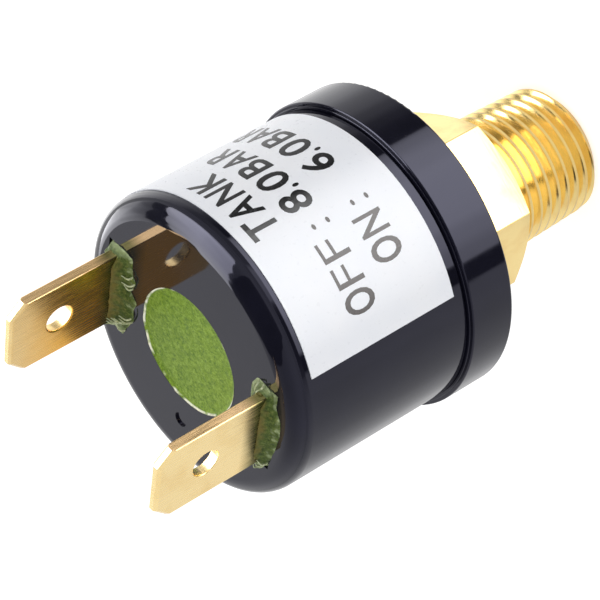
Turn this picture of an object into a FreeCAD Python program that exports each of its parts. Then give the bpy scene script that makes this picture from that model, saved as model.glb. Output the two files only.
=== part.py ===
"""Screw-in pressure switch with two blade terminals, a parametric FreeCAD document.

Frame: +Z runs along the switch from its pressure port towards its terminals.  The origin is the centre
of the port's end face.  The blades stand at +X and -X with their broad faces towards the X axis.
"""

import FreeCAD
import Part
import Sketcher
import math
import os
import re

# Driving sizes in millimetres, one row each in the sheet.
SIZES = {
    # port fitting
    "thread_length": 8.3,          # male thread, end face to hexagon
    "thread_end_radius": 4.74,     # crest radius at the end face, R 1/8 taper pipe thread
    "thread_taper": 0.03125,       # radius gained per length, 1 in 32
    "thread_pitch": 0.907,         # 28 threads to the inch
    "thread_depth": 0.58,
    "groove_share": 0.86,          # groove's mouth as a share of the pitch
    "groove_overreach": 0.08,      # how far the cutting profile passes the crest
    "thread_lead": 0.62,           # chamfer on the end face
    "thread_runout": 0.55,         # plain neck left before the hexagon
    "hex_length": 6.6,
    "hex_across": 12.0,
    "hex_corner_cut": 0.45,        # how far the corner chamfer reaches along the hexagon
    "hex_edge": 0.15,
    "inlet_radius": 1.5,
    "chamber_depth": 0.5,
    "flange_thickness": 1.4,
    # crimp ring
    "ring_length": 3.6,
    "ring_step": 0.47,             # how far the ring stands proud of the housing
    "ring_wall": 1.03,
    "ring_front_wall": 0.7,
    "ring_edge": 0.22,
    "ring_hole_gap": 0.5,          # between the hexagon's corners and the ring's hole
    "lip_length": 0.5,             # rolled lip that locks the housing in
    "lip_depth": 0.3,
    "ring_gap": 0.2,               # groove seen between ring and housing
    "bead_height": 0.1,            # fine bead that the rolling leaves on the ring's rear face
    "bead_inset": 0.26,
    # rear housing
    "body_radius": 10.86,
    "body_length": 14.8,
    "body_round": 1.4,
    "housing_wall": 1.76,
    "rear_wall": 2.5,
    "boss_length": 3.0,
    "boss_wall": 1.1,
    "well_radius": 4.67,
    "well_depth": 1.9,
    "gate_radius": 0.55,           # shallow moulding mark on the rear face
    "gate_depth": 0.15,
    "gate_out": 6.8,
    # fits
    "fit_gap": 0.05,               # general clearance between turned pieces
    "pin_gap": 0.05,               # running clearance of the push pin
    "slot_gap": 0.1,               # around a blade in its slot
    # seals, diaphragm and snap disc
    "gasket_thickness": 0.25,
    "seal_section": 0.75,
    "seal_inset": 0.85,
    "seal_groove_gap": 0.12,
    "diaphragm_thickness": 0.2,
    "disc_thickness": 0.25,
    "disc_dome": 0.45,
    "disc_flat": 2.1,
    "disc_rim": 0.7,               # width of the seat that the disc's rim bears on
    "seat_thickness": 1.0,
    "guide_length": 1.8,
    "guide_radius": 2.6,
    # push pin and contacts
    "travel": 0.5,
    "travel_room": 0.2,
    "pin_radius": 1.25,
    "pin_head_length": 0.55,
    "pin_lash": 0.05,
    "carrier_height": 2.8,
    "carrier_ledge": 0.8,
    "contact_inset": 2.3,
    "fixed_contact_radius": 1.1,
    "fixed_contact_height": 0.5,
    "moving_contact_radius": 1.0,
    "moving_contact_height": 0.4,
    "rivet_radius": 0.55,
    "rivet_head_radius": 0.85,
    "rivet_head_height": 0.25,
    "bridge_thickness": 0.5,
    "bridge_width": 4.2,
    "bridge_overhang": 1.4,
    "bridge_boss_radius": 1.4,
    "bridge_boss_height": 0.6,
    # spring and its adjustment
    "spring_radius": 2.0,
    "spring_wire": 0.4,
    "spring_pitch": 0.8,
    "spring_seat_thickness": 0.6,
    "spring_nose_radius": 1.5,
    "spring_nose_length": 1.0,
    "screw_radius": 3.0,
    "screw_length": 2.6,
    "screw_slot_width": 0.8,
    "screw_slot_depth": 0.8,
    "insert_radius": 4.2,
    # blade terminals
    "blade_length": 9.05,          # beyond the housing
    "blade_width": 6.3,
    "blade_thickness": 0.8,
    "blade_inset": 1.5,            # housing bore to the blade's middle plane
    "blade_corner": 1.08,
    "blade_bevel": 0.22,
    "blade_hole_radius": 1.05,
    "blade_hole_edge": 0.1,
    "blade_hole_height": 5.04,     # above the housing
    "blade_edge": 0.1,             # rounding of the blade's long edges
    "shoulder_step": 0.55,         # how far each shoulder stands out from the blade
    "shoulder_length": 1.2,
    "leg_step": 0.45,              # how far the leg is set in from the blade, each side
    "foot_step": 0.95,
    "foot_end": 1.3,               # beyond the contact's centre
    # potting and label
    "funnel_margin": 0.45,         # beyond each end of the blade
    "funnel_depth": 0.8,
    "funnel_across": 2.0,
    "collar_height": 0.9,
    "collar_spread": 0.45,
    "collar_top_spread": 0.12,
    "plug_sink": 0.05,
    "label_thickness": 0.08,
    "label_margin": 0.8,           # bare strip beside the crimp ring
    "label_height": 12.25,
    "label_angle": 160.0,
    "label_start": -152.0,
}

# Places and sizes that follow from the driving ones.
DERIVED = {
    "shoulder_width": "blade_width + 2 * shoulder_step",
    "leg_width": "blade_width - 2 * leg_step",
    "foot_width": "blade_width - 2 * foot_step",
    "funnel_width": "blade_width + 2 * funnel_margin",
    "bore_radius": "body_radius - housing_wall",
    "ring_radius": "body_radius + ring_step",
    "ring_inner": "ring_radius - ring_wall",
    "spigot_radius": "ring_inner - fit_gap",
    "lip_radius": "ring_inner - lip_depth",
    "bead_outer": "ring_radius - bead_inset",
    "bead_inner": "spigot_radius + 2 * fit_gap",
    "core_radius": "bore_radius - fit_gap",
    "seal_radius": "core_radius - seal_inset",
    "chamber_radius": "seal_radius - seal_section / 2 - 3 * seal_groove_gap",
    "disc_radius": "chamber_radius - 2 * seal_groove_gap",
    "pin_head_radius": "disc_flat - 2 * fit_gap",
    "hex_corner": "hex_across / sqrt(3)",
    "ring_bottom": "thread_length + hex_length",
    "ring_top": "ring_bottom + ring_length",
    "flange_bottom": "ring_bottom + ring_front_wall",
    "flange_top": "flange_bottom + flange_thickness",
    "spigot_bottom": "flange_top + gasket_thickness",
    "body_bottom": "ring_top + ring_gap",
    "body_top": "body_bottom + body_length",
    "ceiling": "body_top - rear_wall",
    "boss_bottom": "ceiling - boss_length",
    "well_bottom": "body_top - well_depth",
    "disc_bottom": "flange_top + diaphragm_thickness",
    "disc_seat_level": "disc_bottom + disc_dome + disc_thickness",
    "seat_roof": "disc_seat_level + travel + travel_room",
    "seat_top": "seat_roof + seat_thickness",
    "foot_bottom": "seat_top + carrier_height",
    "foot_top": "foot_bottom + blade_thickness",
    "contact_face": "foot_top + fixed_contact_height",
    "bridge_bottom": "contact_face + moving_contact_height",
    "bridge_top": "bridge_bottom + bridge_thickness",
    "pin_bottom": "disc_bottom + disc_thickness",
    "screw_bottom": "well_bottom - screw_length",
    "spring_top": "screw_bottom - spring_seat_thickness",
    "spring_height": "spring_top - bridge_top - spring_wire",
    "blade_middle": "bore_radius - blade_inset",
    "blade_inner": "blade_middle - blade_thickness / 2",
    "blade_outer": "blade_middle + blade_thickness / 2",
    "blade_tip": "body_top + blade_length",
    "contact_out": "blade_inner - contact_inset",
    "label_bottom": "body_bottom + label_margin",
}

doc = FreeCAD.newDocument("pressure_switch")
sheet = doc.addObject("Spreadsheet::Sheet", "Sizes")
for row, (alias, number) in enumerate(SIZES.items(), start=1):
    sheet.set(f"A{row}", alias.replace("_", " "))
    sheet.set(f"B{row}", str(number))
    sheet.setAlias(f"B{row}", alias)
doc.recompute()

parts = []


def bound(text):
    """An expression on the sheet, from text that uses the size names above."""
    text = str(text)
    while any(name in DERIVED for name in re.findall(r"[a-z_]+", text)):
        text = re.sub(r"[a-z_]+", lambda m: f"({DERIVED[m[0]]})" if m[0] in DERIVED else m[0], text)
    return re.sub(r"[a-z_]+", lambda m: f"Sizes.{m[0]}" if m[0] in SIZES else m[0], text)


def number_of(text):
    """The present value of an expression, in millimetres."""
    return float(sheet.evalExpression(bound(text)))


def new_body(label):
    body = doc.addObject("PartDesign::Body", label)
    body.Label = label
    parts.append(body)
    return body


def new_sketch(body, role, offset=0):
    """A sketch on one of the body's own origin planes, moved along the plane's normal."""
    sketch = body.newObject("Sketcher::SketchObject", f"{body.Name}_sketch")
    plane = next(item for item in body.Origin.OriginFeatures if item.Role == role)
    sketch.AttachmentSupport = [(plane, "")]
    sketch.MapMode = "FlatFace"
    if offset:
        sketch.setExpression("AttachmentOffset.Base.z", bound(offset))
    return sketch


def tie(sketch, kind, geometry, point, text):
    """Hold a point at a distance from the sketch's origin, along one axis."""
    value = number_of(text)
    if abs(value) < 1e-9:
        axis = -2 if kind == "DistanceX" else -1
        sketch.addConstraint(Sketcher.Constraint("PointOnObject", geometry, point, axis))
    elif value > 0:
        index = sketch.addConstraint(Sketcher.Constraint(kind, -1, 1, geometry, point, value))
        sketch.setExpression(f"Constraints[{index}]", bound(text))
    else:
        index = sketch.addConstraint(Sketcher.Constraint(kind, geometry, point, -1, 1, -value))
        sketch.setExpression(f"Constraints[{index}]", f"-({bound(text)})")


def draw_outline(sketch, corners):
    """A closed outline of straight edges with every corner tied to the sheet."""
    places = [FreeCAD.Vector(number_of(x), number_of(y), 0) for x, y in corners]
    lines = [sketch.addGeometry(Part.LineSegment(start, end), False)
             for start, end in zip(places, places[1:] + places[:1])]
    for line, following in zip(lines, lines[1:] + lines[:1]):
        sketch.addConstraint(Sketcher.Constraint("Coincident", line, 2, following, 1))
    for line, (x, y) in zip(lines, corners):
        tie(sketch, "DistanceX", line, 1, x)
        tie(sketch, "DistanceY", line, 1, y)


def draw_circle(sketch, x, y, radius):
    centre = FreeCAD.Vector(number_of(x), number_of(y), 0)
    circle = sketch.addGeometry(Part.Circle(centre, FreeCAD.Vector(0, 0, 1), number_of(radius)), False)
    index = sketch.addConstraint(Sketcher.Constraint("Radius", circle, number_of(radius)))
    sketch.setExpression(f"Constraints[{index}]", bound(radius))
    tie(sketch, "DistanceX", circle, 3, x)
    tie(sketch, "DistanceY", circle, 3, y)


def rectangle(left, right, low, high):
    return [(left, low), (right, low), (right, high), (left, high)]


def turn(body, corners, cut=False, angle="360"):
    """Revolve an outline of (radius, height) corners about Z, adding to the body or cutting it."""
    sketch = new_sketch(body, "XZ_Plane")
    draw_outline(sketch, corners)
    kind = "PartDesign::Groove" if cut else "PartDesign::Revolution"
    feature = body.newObject(kind, f"{body.Name}_turned")
    feature.Profile = sketch
    feature.ReferenceAxis = (sketch, ["V_Axis"])
    feature.setExpression("Angle", bound(angle))
    return feature


def pad(body, sketch, length):
    feature = body.newObject("PartDesign::Pad", f"{body.Name}_pad")
    feature.Profile = sketch
    feature.setExpression("Length", bound(length))
    return feature


def pocket(body, sketch, length):
    """Cut towards the sketch's back by a length."""
    feature = body.newObject("PartDesign::Pocket", f"{body.Name}_pocket")
    feature.Profile = sketch
    feature.setExpression("Length", bound(length))
    return feature


def round_edges(body, radius, wanted, kind="PartDesign::Fillet"):
    """Fillet or chamfer the edges of the body's tip that the test accepts."""
    doc.recompute()
    base = body.Tip
    names = [f"Edge{i}" for i, edge in enumerate(base.Shape.Edges, start=1) if wanted(edge)]
    feature = body.newObject(kind, f"{body.Name}_edges")
    feature.Base = (base, names)
    feature.setExpression("Radius" if kind.endswith("Fillet") else "Size", bound(radius))
    return feature


def ring_edge(radius, level):
    """A test for the circular edge of one radius at one height."""
    wanted_radius = number_of(radius)
    wanted_level = number_of(level)

    def test(edge):
        curve = edge.Curve
        return (isinstance(curve, Part.Circle) and abs(curve.Radius - wanted_radius) < 1e-4
                and abs(curve.Center.z - wanted_level) < 1e-4)
    return test


def place(body, out=0, angle=0):
    """Stand the body at a distance from the Z axis, turned about Z."""
    body.Placement = FreeCAD.Placement(FreeCAD.Vector(), FreeCAD.Rotation(FreeCAD.Vector(0, 0, 1), angle))
    if out:
        body.setExpression("Placement.Base.x", bound(out))


def make_port_fitting():
    """Brass fitting: taper thread, hexagon and the flange that the crimp ring grips."""
    body = new_body("fitting_blank")
    neck = "thread_end_radius + thread_length * thread_taper"
    turn(body, [("0", "0"), ("thread_end_radius - thread_lead", "0"),
                ("thread_end_radius + thread_lead * thread_taper", "thread_lead"),
                (neck, "thread_length"), (neck, "flange_bottom"),
                ("spigot_radius", "flange_bottom"), ("spigot_radius", "flange_top"), ("0", "flange_top")])
    hexagon = new_sketch(body, "XY_Plane", "thread_length")
    half = "hex_corner / 2"
    flat = "hex_across / 2"
    draw_outline(hexagon, [(flat, f"-({half})"), (flat, half), ("0", "hex_corner"),
                           (f"-({flat})", half), (f"-({flat})", f"-({half})"), ("0", "-(hex_corner)")])
    pad(body, hexagon, "flange_bottom - thread_length")
    corner = number_of("hex_corner")
    round_edges(body, "hex_edge", lambda edge: edge.BoundBox.ZLength > 1
                and abs(math.hypot(edge.CenterOfMass.x, edge.CenterOfMass.y) - corner) < 1e-3)
    outside = "hex_corner + 1"
    turn(body, [("hex_across / 2", "thread_length"), (outside, "thread_length"),
                (outside, "thread_length + hex_corner_cut * (hex_corner + 1 - hex_across / 2)"
                          " / (hex_corner - hex_across / 2)")], cut=True)
    turn(body, [("0", "0"), ("inlet_radius", "0"), ("inlet_radius", "flange_top - chamber_depth"),
                ("chamber_radius", "flange_top - chamber_depth"), ("chamber_radius", "flange_top"),
                ("0", "flange_top")], cut=True)
    half_groove = "(seal_section / 2 + seal_groove_gap)"
    turn(body, rectangle(f"seal_radius - {half_groove}", f"seal_radius + {half_groove}",
                         "flange_top - seal_section", "flange_top"), cut=True)
    fitting = doc.addObject("Part::Cut", "port_fitting")
    fitting.Base = body
    fitting.Tool = thread_groove()
    fitting.Label = "port_fitting"
    parts[parts.index(body)] = fitting


def thread_groove():
    """The taper thread's groove: a V swept along a conical helix that starts beyond the end face."""
    pitch = number_of("thread_pitch")
    start = -pitch / 2
    crest = number_of("thread_end_radius") + start * number_of("thread_taper")
    root = crest - number_of("thread_depth")
    mouth = crest + number_of("groove_overreach")
    half = pitch * number_of("groove_share") / 2
    height = number_of("thread_length - thread_runout") - start
    path = Part.makeHelix(pitch, height, root, number_of("atan(thread_taper)"))
    path.translate(FreeCAD.Vector(0, 0, start))
    corners = [(root, start), (mouth, start + half), (mouth, start - half), (root, start)]
    section = Part.makePolygon([FreeCAD.Vector(x, 0, z) for x, z in corners])
    sweep = Part.BRepOffsetAPI.MakePipeShell(Part.Wire(path.Edges))
    sweep.setFrenetMode(True)
    sweep.add(section)
    sweep.build()
    sweep.makeSolid()
    groove = doc.addObject("Part::Feature", "thread_groove")
    groove.Shape = sweep.shape()
    return groove


def make_crimp_ring():
    """Cup with a hole for the hexagon, its wall rolled inwards over the housing's spigot."""
    body = new_body("crimp_ring")
    turn(body, [("hex_corner + ring_hole_gap", "ring_bottom"), ("ring_radius", "ring_bottom"),
                ("ring_radius", "ring_top"), ("bead_outer", "ring_top"),
                ("bead_outer", "ring_top + bead_height"), ("bead_inner", "ring_top + bead_height"),
                ("bead_inner", "ring_top"), ("lip_radius", "ring_top"),
                ("lip_radius", "ring_top - lip_length"), ("ring_inner", "ring_top - lip_length"),
                ("ring_inner", "flange_bottom"), ("hex_corner + ring_hole_gap", "flange_bottom")])
    round_edges(body, "ring_edge", ring_edge("ring_radius", "ring_bottom"))
    round_edges(body, "ring_edge / 2", ring_edge("ring_radius", "ring_top"))
    round_edges(body, "bead_height / 2", ring_edge("bead_outer", "ring_top + bead_height"))


def make_seals():
    """Section seal and diaphragm under pressure, and the flat gasket below the housing."""
    seal = new_body("pressure_seal")
    sketch = new_sketch(seal, "XZ_Plane")
    draw_circle(sketch, "seal_radius", "flange_top - seal_section / 2", "seal_section / 2")
    feature = seal.newObject("PartDesign::Revolution", "pressure_seal_turned")
    feature.Profile = sketch
    feature.ReferenceAxis = (sketch, ["V_Axis"])
    diaphragm = new_body("diaphragm")
    turn(diaphragm, rectangle("0", "core_radius - fit_gap", "flange_top", "disc_bottom"))
    gasket = new_body("housing_gasket")
    turn(gasket, rectangle("bore_radius", "spigot_radius", "flange_top", "spigot_bottom"))


def make_snap_disc():
    """Sprung disc, dished towards the pressure side until the set pressure snaps it over."""
    body = new_body("snap_disc")
    turn(body, [("0", "disc_bottom"), ("disc_flat", "disc_bottom"),
                ("disc_radius", "disc_bottom + disc_dome"), ("disc_radius", "disc_seat_level"),
                ("disc_flat", "disc_bottom + disc_thickness"), ("0", "disc_bottom + disc_thickness")])


def make_disc_seat():
    """Plate that the disc's rim bears on, with the guide for the push pin."""
    body = new_body("disc_seat")
    hole = "pin_radius + pin_gap"
    pocket_radius = "disc_radius + seal_groove_gap"
    turn(body, [(hole, "seat_roof"), ("disc_radius - disc_rim", "seat_roof"),
                ("disc_radius - disc_rim", "disc_seat_level"), (pocket_radius, "disc_seat_level"),
                (pocket_radius, "disc_bottom"), ("core_radius", "disc_bottom"),
                ("core_radius", "seat_top"), ("guide_radius", "seat_top"),
                ("guide_radius", "seat_top + guide_length"), (hole, "seat_top + guide_length")])


def make_push_pin():
    body = new_body("push_pin")
    head_top = "pin_bottom + pin_head_length"
    turn(body, [("0", "pin_bottom"), ("pin_head_radius", "pin_bottom"), ("pin_head_radius", head_top),
                ("pin_radius", head_top), ("pin_radius", "bridge_bottom - pin_lash"),
                ("0", "bridge_bottom - pin_lash")])


def make_contact_carrier():
    """Moulded ring that the terminals' feet stand on."""
    body = new_body("contact_carrier")
    turn(body, rectangle("blade_inner - carrier_ledge", "core_radius", "seat_top", "foot_bottom"))


def make_terminal(label, angle):
    """Blade terminal: blade and leg from one strip, with the foot bent inwards."""
    body = new_body(label)
    face = new_sketch(body, "YZ_Plane", "blade_inner")
    half = {"blade": "blade_width / 2", "shoulder": "shoulder_width / 2", "leg": "leg_width / 2"}
    right = [(half["leg"], "foot_bottom"), (half["leg"], "ceiling - shoulder_length"),
             (half["shoulder"], "ceiling - shoulder_length"), (half["shoulder"], "ceiling"),
             (half["blade"], "ceiling"), (half["blade"], "blade_tip - blade_corner"),
             (f"{half['blade']} - blade_corner", "blade_tip")]
    left = [(f"-({across})", level) for across, level in reversed(right)]
    draw_outline(face, right + left)
    pad(body, face, "blade_thickness")
    foot = new_sketch(body, "XY_Plane", "foot_bottom")
    half_foot = "foot_width / 2"
    draw_outline(foot, rectangle("contact_out - foot_end", "blade_outer", f"-({half_foot})", half_foot))
    pad(body, foot, "blade_thickness")
    rivet = new_sketch(body, "XY_Plane", "foot_top")
    draw_circle(rivet, "contact_out", "0", "rivet_radius")
    pocket(body, rivet, "blade_thickness")
    hole = new_sketch(body, "YZ_Plane", "blade_outer")
    draw_circle(hole, "0", "body_top + blade_hole_height", "blade_hole_radius")
    pocket(body, hole, "blade_thickness")
    corner = number_of("blade_tip - blade_corner")
    round_edges(body, "blade_bevel", lambda edge: edge.BoundBox.ZMin > corner - 1e-4
                and edge.BoundBox.YLength > 0.5, "PartDesign::Chamfer")
    ceiling = number_of("ceiling")
    round_edges(body, "blade_edge", lambda edge: abs(edge.BoundBox.ZMin - ceiling) < 1e-4
                and edge.BoundBox.ZLength > 5)
    round_edges(body, "blade_hole_edge", ring_edge("blade_hole_radius", "body_top + blade_hole_height"))
    place(body, angle=angle)


def make_contact(label, out, radius, face, seat, top):
    """Silver contact riveted through a strip: its face at one level, its upset head at the other."""
    body = new_body(label)
    turn(body, [("0", face), (radius, face), (radius, seat), ("rivet_radius", seat),
                ("rivet_radius", top[0]), ("rivet_head_radius", top[0]),
                ("rivet_head_radius", top[1]), ("0", top[1])])
    place(body, out=out)


def make_bridge():
    """Contact bridge that joins the two terminals until the pin lifts it."""
    body = new_body("contact_bridge")
    sketch = new_sketch(body, "XY_Plane", "bridge_bottom")
    reach = "contact_out + bridge_overhang"
    draw_outline(sketch, rectangle(f"-({reach})", reach, "-(bridge_width / 2)", "bridge_width / 2"))
    pad(body, sketch, "bridge_thickness")
    doc.recompute()
    round_edges(body, "bridge_width / 4", lambda edge: edge.BoundBox.ZLength > 0.1
                and edge.BoundBox.XLength < 0.01 and edge.BoundBox.YLength < 0.01)
    boss = new_sketch(body, "XY_Plane", "bridge_top")
    draw_circle(boss, "0", "0", "bridge_boss_radius")
    pad(body, boss, "bridge_boss_height")
    holes = new_sketch(body, "XY_Plane", "bridge_top")
    for side in ("contact_out", "-(contact_out)"):
        draw_circle(holes, side, "0", "rivet_radius")
    pocket(body, holes, "bridge_thickness")


def make_spring():
    """Contact spring, standing on the bridge and held down by the spring seat."""
    body = new_body("contact_spring")
    wire = new_sketch(body, "XZ_Plane")
    draw_circle(wire, "spring_radius", "bridge_top + spring_wire / 2", "spring_wire / 2")
    coil = body.newObject("PartDesign::AdditiveHelix", "contact_spring_coil")
    coil.Profile = wire
    coil.ReferenceAxis = (wire, ["V_Axis"])
    coil.Mode = "pitch-height-angle"
    coil.setExpression("Height", bound("spring_height"))
    coil.setExpression("Pitch", bound("spring_pitch"))


def make_adjuster():
    """Spring seat, its adjusting screw and the threaded insert moulded into the housing's boss."""
    seat = new_body("spring_seat")
    nose = "spring_top - spring_nose_length"
    turn(seat, [("0", nose), ("spring_nose_radius", nose), ("spring_nose_radius", "spring_top"),
                ("screw_radius - fit_gap", "spring_top"), ("screw_radius - fit_gap", "screw_bottom"),
                ("0", "screw_bottom")])
    screw = new_body("calibration_screw")
    turn(screw, rectangle("0", "screw_radius", "screw_bottom", "well_bottom"))
    slot = new_sketch(screw, "XY_Plane", "well_bottom")
    half = "screw_slot_width / 2"
    draw_outline(slot, rectangle("-(screw_radius + 1)", "screw_radius + 1", f"-({half})", half))
    pocket(screw, slot, "screw_slot_depth")
    insert = new_body("threaded_insert")
    turn(insert, rectangle("screw_radius", "insert_radius", "boss_bottom + fit_gap", "well_bottom"))


def make_rear_housing():
    """Moulded cup with the spigot, the centre boss, two blade slots and the potting recesses."""
    body = new_body("rear_housing")
    boss = "insert_radius + boss_wall"
    turn(body, [("bore_radius", "spigot_bottom"), ("spigot_radius", "spigot_bottom"),
                ("spigot_radius", "ring_top - lip_length - fit_gap"),
                ("lip_radius - fit_gap", "ring_top - lip_length - fit_gap"),
                ("lip_radius - fit_gap", "ring_top + fit_gap"), ("spigot_radius", "ring_top + fit_gap"),
                ("spigot_radius", "body_bottom"), ("body_radius", "body_bottom"),
                ("body_radius", "body_top"), ("well_radius", "body_top"), ("well_radius", "well_bottom"),
                ("insert_radius", "well_bottom"), ("insert_radius", "boss_bottom"), (boss, "boss_bottom"),
                (boss, "ceiling"), ("bore_radius", "ceiling")])
    round_edges(body, "body_round", ring_edge("body_radius", "body_top"))
    sides = {1: lambda text: text, -1: lambda text: f"-({text})"}
    for side in sides.values():
        funnel = new_sketch(body, "XY_Plane", "body_top")
        draw_outline(funnel, rectangle(side("blade_middle - funnel_across / 2"),
                                       side("blade_middle + funnel_across / 2"),
                                       "-(funnel_width / 2)", "funnel_width / 2"))
        pocket(body, funnel, "funnel_depth")
        slot = new_sketch(body, "XY_Plane", "body_top")
        draw_outline(slot, rectangle(side("blade_inner - slot_gap"), side("blade_outer + slot_gap"),
                                     "-(blade_width / 2 + slot_gap)", "blade_width / 2 + slot_gap"))
        pocket(body, slot, "rear_wall")
    gate = new_sketch(body, "XY_Plane", "body_top")
    draw_circle(gate, "0", "gate_out", "gate_radius")
    pocket(body, gate, "gate_depth")


def make_potting():
    """Epoxy over the calibration screw and around the root of each blade."""
    plug = new_body("epoxy_plug")
    turn(plug, rectangle("0", "well_radius", "well_bottom", "body_top - plug_sink"))
    for label, angle in (("epoxy_collar_a", 0), ("epoxy_collar_b", 180)):
        body = new_body(label)
        block = new_sketch(body, "XY_Plane", "body_top - funnel_depth")
        draw_outline(block, rectangle("blade_middle - funnel_across / 2",
                                      "blade_middle + funnel_across / 2",
                                      "-(funnel_width / 2)", "funnel_width / 2"))
        pad(body, block, "funnel_depth")
        ends = []
        for spread, level in (("collar_spread", "body_top"),
                              ("collar_top_spread", "body_top + collar_height")):
            end = new_sketch(body, "XY_Plane", level)
            draw_outline(end, rectangle(f"blade_inner - {spread}", f"blade_outer + {spread}",
                                        f"-(blade_width / 2 + {spread})", f"blade_width / 2 + {spread}"))
            ends.append(end)
        fillet = body.newObject("PartDesign::AdditiveLoft", f"{label}_loft")
        fillet.Profile = ends[0]
        fillet.Sections = [ends[1]]
        fillet.Ruled = True
        blade = new_sketch(body, "XY_Plane", "body_top + collar_height")
        half_blade = "blade_width / 2"
        draw_outline(blade, rectangle("blade_inner", "blade_outer", f"-({half_blade})", half_blade))
        pocket(body, blade, "collar_height + funnel_depth")
        place(body, angle=angle)


def make_label():
    body = new_body("label")
    turn(body, rectangle("body_radius", "body_radius + label_thickness",
                         "label_bottom", "label_bottom + label_height"), angle="label_angle")
    place(body, angle=SIZES["label_start"])


make_port_fitting()
make_crimp_ring()
make_seals()
make_snap_disc()
make_disc_seat()
make_push_pin()
make_contact_carrier()
for letter, turned, side in (("a", 0, "contact_out"), ("b", 180, "-(contact_out)")):
    make_terminal(f"terminal_{letter}", turned)
    make_contact(f"fixed_contact_{letter}", side, "fixed_contact_radius", "contact_face", "foot_top",
                 ("foot_bottom", "foot_bottom - rivet_head_height"))
    make_contact(f"moving_contact_{letter}", side, "moving_contact_radius", "contact_face", "bridge_bottom",
                 ("bridge_top", "bridge_top + rivet_head_height"))
make_bridge()
make_spring()
make_adjuster()
make_rear_housing()
make_potting()
make_label()
doc.recompute()

for item in doc.Objects:
    faults = [state for state in item.State if state in ("Invalid", "Error")]
    if faults:
        raise RuntimeError(f"{item.Name}: {faults}")
os.makedirs("parts", exist_ok=True)
for body in parts:
    shape = body.Shape
    if shape.isNull() or not shape.isValid() or len(shape.Solids) != 1:
        raise RuntimeError(f"{body.Label}: not one valid solid, {len(shape.Solids)}")
    shape.exportStep(f"parts/{body.Label}.step")
    print(f"{body.Label:20s} {shape.Volume:9.2f} mm3")
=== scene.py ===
# %% [markdown]
# # A screw-in pressure switch
# A brass fitting with a pipe thread and a hexagon screws into an air line.  A black crimp ring holds it to
# a glossy black housing.  Two brass blade terminals stand on the rear face, set in green epoxy, and a white
# label wraps part of the way round.  The solid model already holds every size, so this lesson loads it as
# a fixed frame, gives each surface its finish, and models what a solid model leaves plain: the
# poured epoxy and the print on the label.

# %% Load the frame
import bpy
import math
from mathutils import Matrix, Vector, noise


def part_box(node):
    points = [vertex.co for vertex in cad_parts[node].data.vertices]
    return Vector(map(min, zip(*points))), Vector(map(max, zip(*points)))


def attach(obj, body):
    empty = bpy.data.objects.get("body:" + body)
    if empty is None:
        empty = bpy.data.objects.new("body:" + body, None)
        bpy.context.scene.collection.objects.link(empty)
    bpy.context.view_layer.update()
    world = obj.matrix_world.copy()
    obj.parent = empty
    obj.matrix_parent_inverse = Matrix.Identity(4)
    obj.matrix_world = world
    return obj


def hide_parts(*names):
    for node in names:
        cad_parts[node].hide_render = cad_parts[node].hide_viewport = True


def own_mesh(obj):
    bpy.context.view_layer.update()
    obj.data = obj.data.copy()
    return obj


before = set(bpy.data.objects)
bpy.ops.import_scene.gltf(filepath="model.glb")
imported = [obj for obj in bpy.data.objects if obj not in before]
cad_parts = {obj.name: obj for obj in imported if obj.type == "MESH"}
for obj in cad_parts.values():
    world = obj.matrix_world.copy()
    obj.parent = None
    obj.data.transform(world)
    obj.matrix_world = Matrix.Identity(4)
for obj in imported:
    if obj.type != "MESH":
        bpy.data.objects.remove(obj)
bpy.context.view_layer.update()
MM = 0.001
print("pieces in the frame:", len(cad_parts))

# %% [markdown]
# Places come from the frame, so that the new pieces follow the solid model.  A box gives the lowest and
# highest corner of a node, which is enough for round and square pieces.

# %% Places read from the frame
housing_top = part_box("rear_housing")[1]
BODY_RADIUS = housing_top.x
REAR_FACE = housing_top.z
PLUG_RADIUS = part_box("epoxy_plug")[1].x
BLADE_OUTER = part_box("terminal_a")[1].x
# sizes of the solid model that a box does not show
LABEL_THICKNESS = 0.08 * MM
BLADE_THICKNESS = 0.8 * MM
BLADE_HALF_WIDTH = 3.15 * MM
WELL_DEPTH = 1.9 * MM
FUNNEL_DEPTH = 0.8 * MM
LABEL_RADIUS = BODY_RADIUS + LABEL_THICKNESS
BLADE_INNER = BLADE_OUTER - BLADE_THICKNESS
BLADE_MIDDLE = (BLADE_OUTER + BLADE_INNER) / 2
print("housing radius", round(BODY_RADIUS / MM, 2), "mm, rear face at", round(REAR_FACE / MM, 2), "mm")


# %% [markdown]
# ## Finishes
# Every finish is a Principled shader whose colour, roughness and bump come from noise in Object
# coordinates, so nothing slides when the piece moves.  These helpers keep each recipe short.

# %% Helpers for finishes
def new_finish(name, roughness, metallic=0.0):
    """An empty material with a Principled shader; returns the material and its shader."""
    finish = bpy.data.materials.new(name)
    finish.use_nodes = True
    shader = finish.node_tree.nodes["Principled BSDF"]
    shader.inputs["Roughness"].default_value = roughness
    shader.inputs["Metallic"].default_value = metallic
    return finish, shader


def grain(finish, size, stretch=(1, 1, 1), detail=3.0, roughness=0.5):
    """Noise in Object coordinates whose blobs are about `size` metres across, stretched along the axes."""
    nodes = finish.node_tree.nodes
    links = finish.node_tree.links
    place = nodes.new("ShaderNodeTexCoord")
    mapping = nodes.new("ShaderNodeMapping")
    mapping.inputs["Scale"].default_value = [1 / (size * length) for length in stretch]
    texture = nodes.new("ShaderNodeTexNoise")
    texture.inputs["Scale"].default_value = 1.0
    texture.inputs["Detail"].default_value = detail
    texture.inputs["Roughness"].default_value = roughness
    links.new(place.outputs["Object"], mapping.inputs["Vector"])
    links.new(mapping.outputs["Vector"], texture.inputs["Vector"])
    return texture.outputs["Fac"]


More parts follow.
